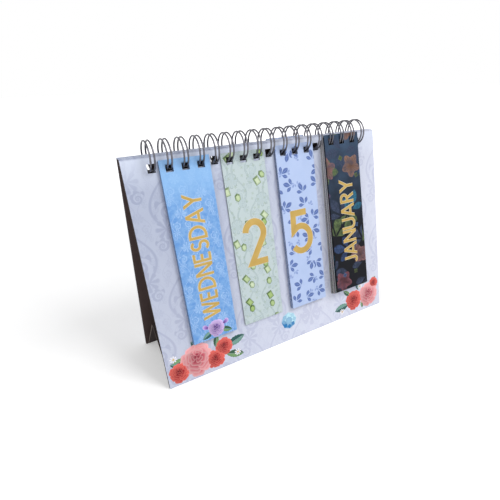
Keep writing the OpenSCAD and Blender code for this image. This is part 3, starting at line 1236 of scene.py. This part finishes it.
# %% Inks
ROSY = [ink_colour(250, 184, 186), ink_colour(232, 110, 126), ink_colour(176, 44, 72)]
SCARLET = [ink_colour(238, 112, 100), ink_colour(196, 40, 50), ink_colour(92, 8, 26)]
LILAC = [ink_colour(216, 190, 238), ink_colour(160, 124, 206), ink_colour(74, 40, 120)]
GREEN = [ink_colour(112, 150, 100), ink_colour(44, 84, 60)]
BLUE_GREEN = [ink_colour(108, 150, 138), ink_colour(38, 84, 80)]
WHITE_INK = ink_colour(246, 244, 250)
YELLOW_INK = ink_colour(236, 190, 84)
PALE_STONE = ink_colour(196, 238, 252)
DEEP_STONE = ink_colour(34, 122, 186)

# %% [markdown]
# ### Two bunches
# Leaves go down first, then the blossoms over them, the largest last. Places are in
# millimetres from the middle of the ridge: across to the right, and down the board.

# %% Bunches of flowers
LEAF_HEIGHT = 0.006
BLOSSOM_HEIGHT = 0.02
BLOSSOM_RISE = 0.09 * LAYER_STEP
DAISY_HEIGHT = 0.13


def bunch(leaves, blossoms, daisies):
    """All shapes of one bunch, each lot printed above the one before it."""
    shapes = []
    for number, (x, down, length, turn, inks) in enumerate(leaves):
        height = LEAF_HEIGHT + LAYER_STEP * (number % 3)
        shapes += leaf_shapes(x, -down, length, length * 0.42, turn, height, *inks)
    for number, (x, down, radius, turn, inks) in enumerate(blossoms):
        height = BLOSSOM_HEIGHT + BLOSSOM_RISE * number
        shapes += blossom_shapes(x, -down, radius, turn, height, *inks)
    for x, down, radius in daisies:
        shapes += daisy_shapes(x, -down, radius, 10.0 * x, DAISY_HEIGHT, WHITE_INK, YELLOW_INK)
    return shapes


LEFT_BUNCH = bunch(
    leaves=[
        (-70, 112, 10, 100, GREEN),
        (-74, 116, 7, 60, BLUE_GREEN),
        (-62, 110, 8, 30, BLUE_GREEN),
        (-52, 112, 8, -15, GREEN),
        (-45, 114, 13, -75, BLUE_GREEN),
        (-46, 119, 12, -108, GREEN),
    ],
    blossoms=[
        (-75.5, 119.5, 6.2, 10, SCARLET),
        (-46.5, 113.5, 5.6, 40, SCARLET),
        (-53, 119.5, 6.0, 75, SCARLET),
        (-64.0, 115.6, 10.2, 20, ROSY),
    ],
    daisies=[(-77.5, 110.0, 2.2), (-38.5, 120.5, 2.2)],
)
RIGHT_BUNCH = bunch(
    leaves=[
        (54, 112, 8, 50, GREEN),
        (52, 118, 13, 98, BLUE_GREEN),
        (62, 110, 7, 15, BLUE_GREEN),
        (76, 110, 7, -25, GREEN),
        (65, 118, 7, 178, GREEN),
    ],
    blossoms=[
        (77.0, 108.6, 4.4, 60, SCARLET),
        (57, 116.5, 7.4, 15, SCARLET),
        (71.5, 116.0, 9.2, 5, ROSY),
    ],
    daisies=[(45.5, 122.0, 2.2), (63.5, 107.5, 2.2)],
)


def print_on(name, shapes, place, body):
    """Makes one printed piece on a sheet, in the printed ink finish."""
    points, faces, colours = joined(shapes)
    make_piece(name, on_seat(points, place), faces, INK, body, colours)


print_on("print_left_bunch", LEFT_BUNCH, BOARD_SEAT, "front_panel")
print_on("print_right_bunch", RIGHT_BUNCH, BOARD_SEAT, "front_panel")
print("printed shapes:", len(LEFT_BUNCH) + len(RIGHT_BUNCH))

# %% [markdown]
# ### A cut stone
# The stone is drawn like a brilliant seen from above: an eight-sided table, kite facets about
# it, and a ring of triangles outside. Each facet is a flat tint, and the tints follow the
# facet's angle to a light from the upper right, with a step between neighbours.

# %% Cut stone
def stone_shapes(x, y, radius, height, light, dark, sides=8):
    """Facets between three rings of corners: the table at 0.45, the stars' tips at 0.72 half a
    step on, and the outline at 1. A facet's tint is dark + (light - dark) * (0.5 + 0.5 *
    cos(its angle - 50 degrees)), brightened for every second facet."""
    step = 360.0 / sides
    turns = np.arange(sides) * step

    def ring(share, offset):
        turn = np.radians(turns + offset)
        return np.array([x, y]) + radius * share * np.stack([np.cos(turn), np.sin(turn)], 1)

    table, tips, girdle = ring(0.45, 0), ring(0.72, step / 2), ring(1.0, 0)
    facets = []
    for k in range(sides):
        near = (k + 1) % sides
        uneven = 0.12 if k % 2 else -0.08
        for outline, lift in (
            ([table[k], tips[k], table[near]], 0.25),
            ([table[near], tips[k], girdle[near], tips[near]], -0.12),
            ([tips[k], girdle[k], girdle[near]], 0.1),
        ):
            facets.append((np.array(outline), turns[k] + step / 2, lift + uneven))
    facets.append((table, 230.0, 0.5))
    shapes = []
    for outline, angle, lift in facets:
        share = np.clip(0.5 + 0.5 * cos(radians(angle - 50)) + lift, 0, 1)
        tint = dark + (light - dark) * share
        shapes.append(plate(outline, outline.mean(0), (1.0, 0.3), height, [tint * 0.9, tint]))
    return shapes


STONE = stone_shapes(0.5, -113.0, 5.8, BLOSSOM_HEIGHT, PALE_STONE, DEEP_STONE)
print_on("print_cut_stone", STONE, BOARD_SEAT, "front_panel")
print("facets:", len(STONE))

# %% [markdown]
# ### A lilac flower
# The Wednesday card has one more flower, near its foot: a lilac blossom between two buds and
# a pair of leaves.

# %% Lilac flower
FLOWER_LEAF_HEIGHT = 0.012
FLOWER_HEIGHT = 0.026


def flower_shapes(x, y):
    """Two leaves and two buds to the sides, and over them a blossom of lilac petals."""
    shapes = []
    for leaf_x, turn, inks in ((x + 2.0, -112, GREEN), (x - 2.0, 116, BLUE_GREEN)):
        shapes += leaf_shapes(leaf_x, y - 1.0, 8.0, 3.4, turn, FLOWER_LEAF_HEIGHT, *inks)
    for bud_x, turn in ((x + 4.0, -58), (x - 4.0, 62)):
        outline = moved(petal_outline(4.6, 3.4), bud_x, y + 1.0, turn)
        shapes.append(plate(outline, (bud_x, y + 1.0), (1.0, 0.7, 0.25), BLOSSOM_HEIGHT, LILAC))
    return shapes + blossom_shapes(x, y, 5.2, 12, FLOWER_HEIGHT, *LILAC, layers=5)


FLOWER = flower_shapes(1.0, -96.4)
print_on(
    "print_lilac_flower", FLOWER, card_seats["wednesday"], "card_wednesday"
)
print("flower shapes:", len(FLOWER))

# %% [markdown]
# ## Stage, light and camera
# The calendar stands on a pale floor under soft light from the upper right. The floor adds a
# little light of its own for the camera, more of it further out, so that it runs into the
# white behind it and keeps the shadow.

# %% Floor
def seen_directly(tree):
    """1 for rays from the camera and for those that reach it by reflection or through glass."""
    rays = add("LightPath", tree=tree)
    mirrored = calc("MAXIMUM", rays["Is Glossy Ray"], rays["Is Transmission Ray"])
    return calc("MAXIMUM", rays["Is Camera Ray"], mirrored)


def floor_finish():
    """Pale matte floor with a faint grain, lifted towards white for camera and glossy rays."""
    material, tree, shader = new_finish("pale floor", Specular_IOR_Level=0.1)
    where = coordinates(tree)
    grain = noise(where, 25.0, 3.0)
    colour = blend(grain, rgba(244, 244, 245), rgba(250, 250, 250))
    feed(shader, colour, grain * 0.1 + 0.8, grain, 0.05)
    shader.inputs["Emission Color"].default_value = (1.0, 1.0, 1.0, 1.0)
    glow = ramp(vector_length(where), 0.25, 0.9, 0.3, 1.0)
    link(seen_directly(tree) * glow, shader.inputs["Emission Strength"])
    return material


FLOOR_HALF = 4.0
FLOOR_DEPTH = -0.0002
floor_mesh = bpy.data.meshes.new("floor")
floor_corners = [
    (x * FLOOR_HALF, y * FLOOR_HALF, FLOOR_DEPTH) for x, y in ((-1, -1), (1, -1), (1, 1), (-1, 1))
]
floor_mesh.from_pydata(floor_corners, [], [(0, 1, 2, 3)])
floor_mesh.materials.append(floor_finish())
floor = new_object("floor", floor_mesh)

# %% World
AMBIENT = 0.5
world = bpy.data.worlds.new("studio")
bpy.context.scene.world = world
world.use_nodes = True
sky = world.node_tree.nodes["Background"]
sky.inputs["Color"].default_value = (1.0, 1.0, 1.0, 1.0)
link(seen_directly(world.node_tree) * (1 - AMBIENT) + AMBIENT, sky.inputs["Strength"])


# %% Lamps
def lamp(name, place, target, size, watts):
    """A square area lamp at a place, turned to face a target. Both are in metres."""
    light = bpy.data.lights.new(name, "AREA")
    light.size = size
    light.energy = watts
    aim = (Vector(target) - Vector(place)).to_track_quat("-Z", "Y")
    new_object(name, light).matrix_world = Matrix.Translation(place) @ aim.to_matrix().to_4x4()


MIDDLE = (0.0, 0.0, 0.06)
lamp("key lamp", (0.34, -0.58, 0.85), MIDDLE, 0.4, 5.2)
lamp("fill lamp", (-0.8, -0.6, 0.5), MIDDLE, 0.6, 1.9)

# %% Camera
AZIMUTH, DOWN, ROLL = radians(31.754), radians(25.888), radians(-1.109)
CAMERA_PLACE = (-0.117965, -0.175502, 0.161127)
camera_data = bpy.data.cameras.new("camera")
camera_data.lens = 27.926
camera_data.sensor_width = 36.0
camera_data.shift_x = -0.05266
camera_data.shift_y = 0.02109
camera_data.clip_start = 0.01
camera = new_object("camera", camera_data)
look = Matrix.Rotation(-AZIMUTH, 4, "Z") @ Matrix.Rotation(pi / 2 - DOWN, 4, "X")
camera.matrix_world = Matrix.Translation(CAMERA_PLACE) @ look @ Matrix.Rotation(ROLL, 4, "Z")
bpy.context.scene.camera = camera
bpy.context.scene.view_settings.view_transform = "Standard"
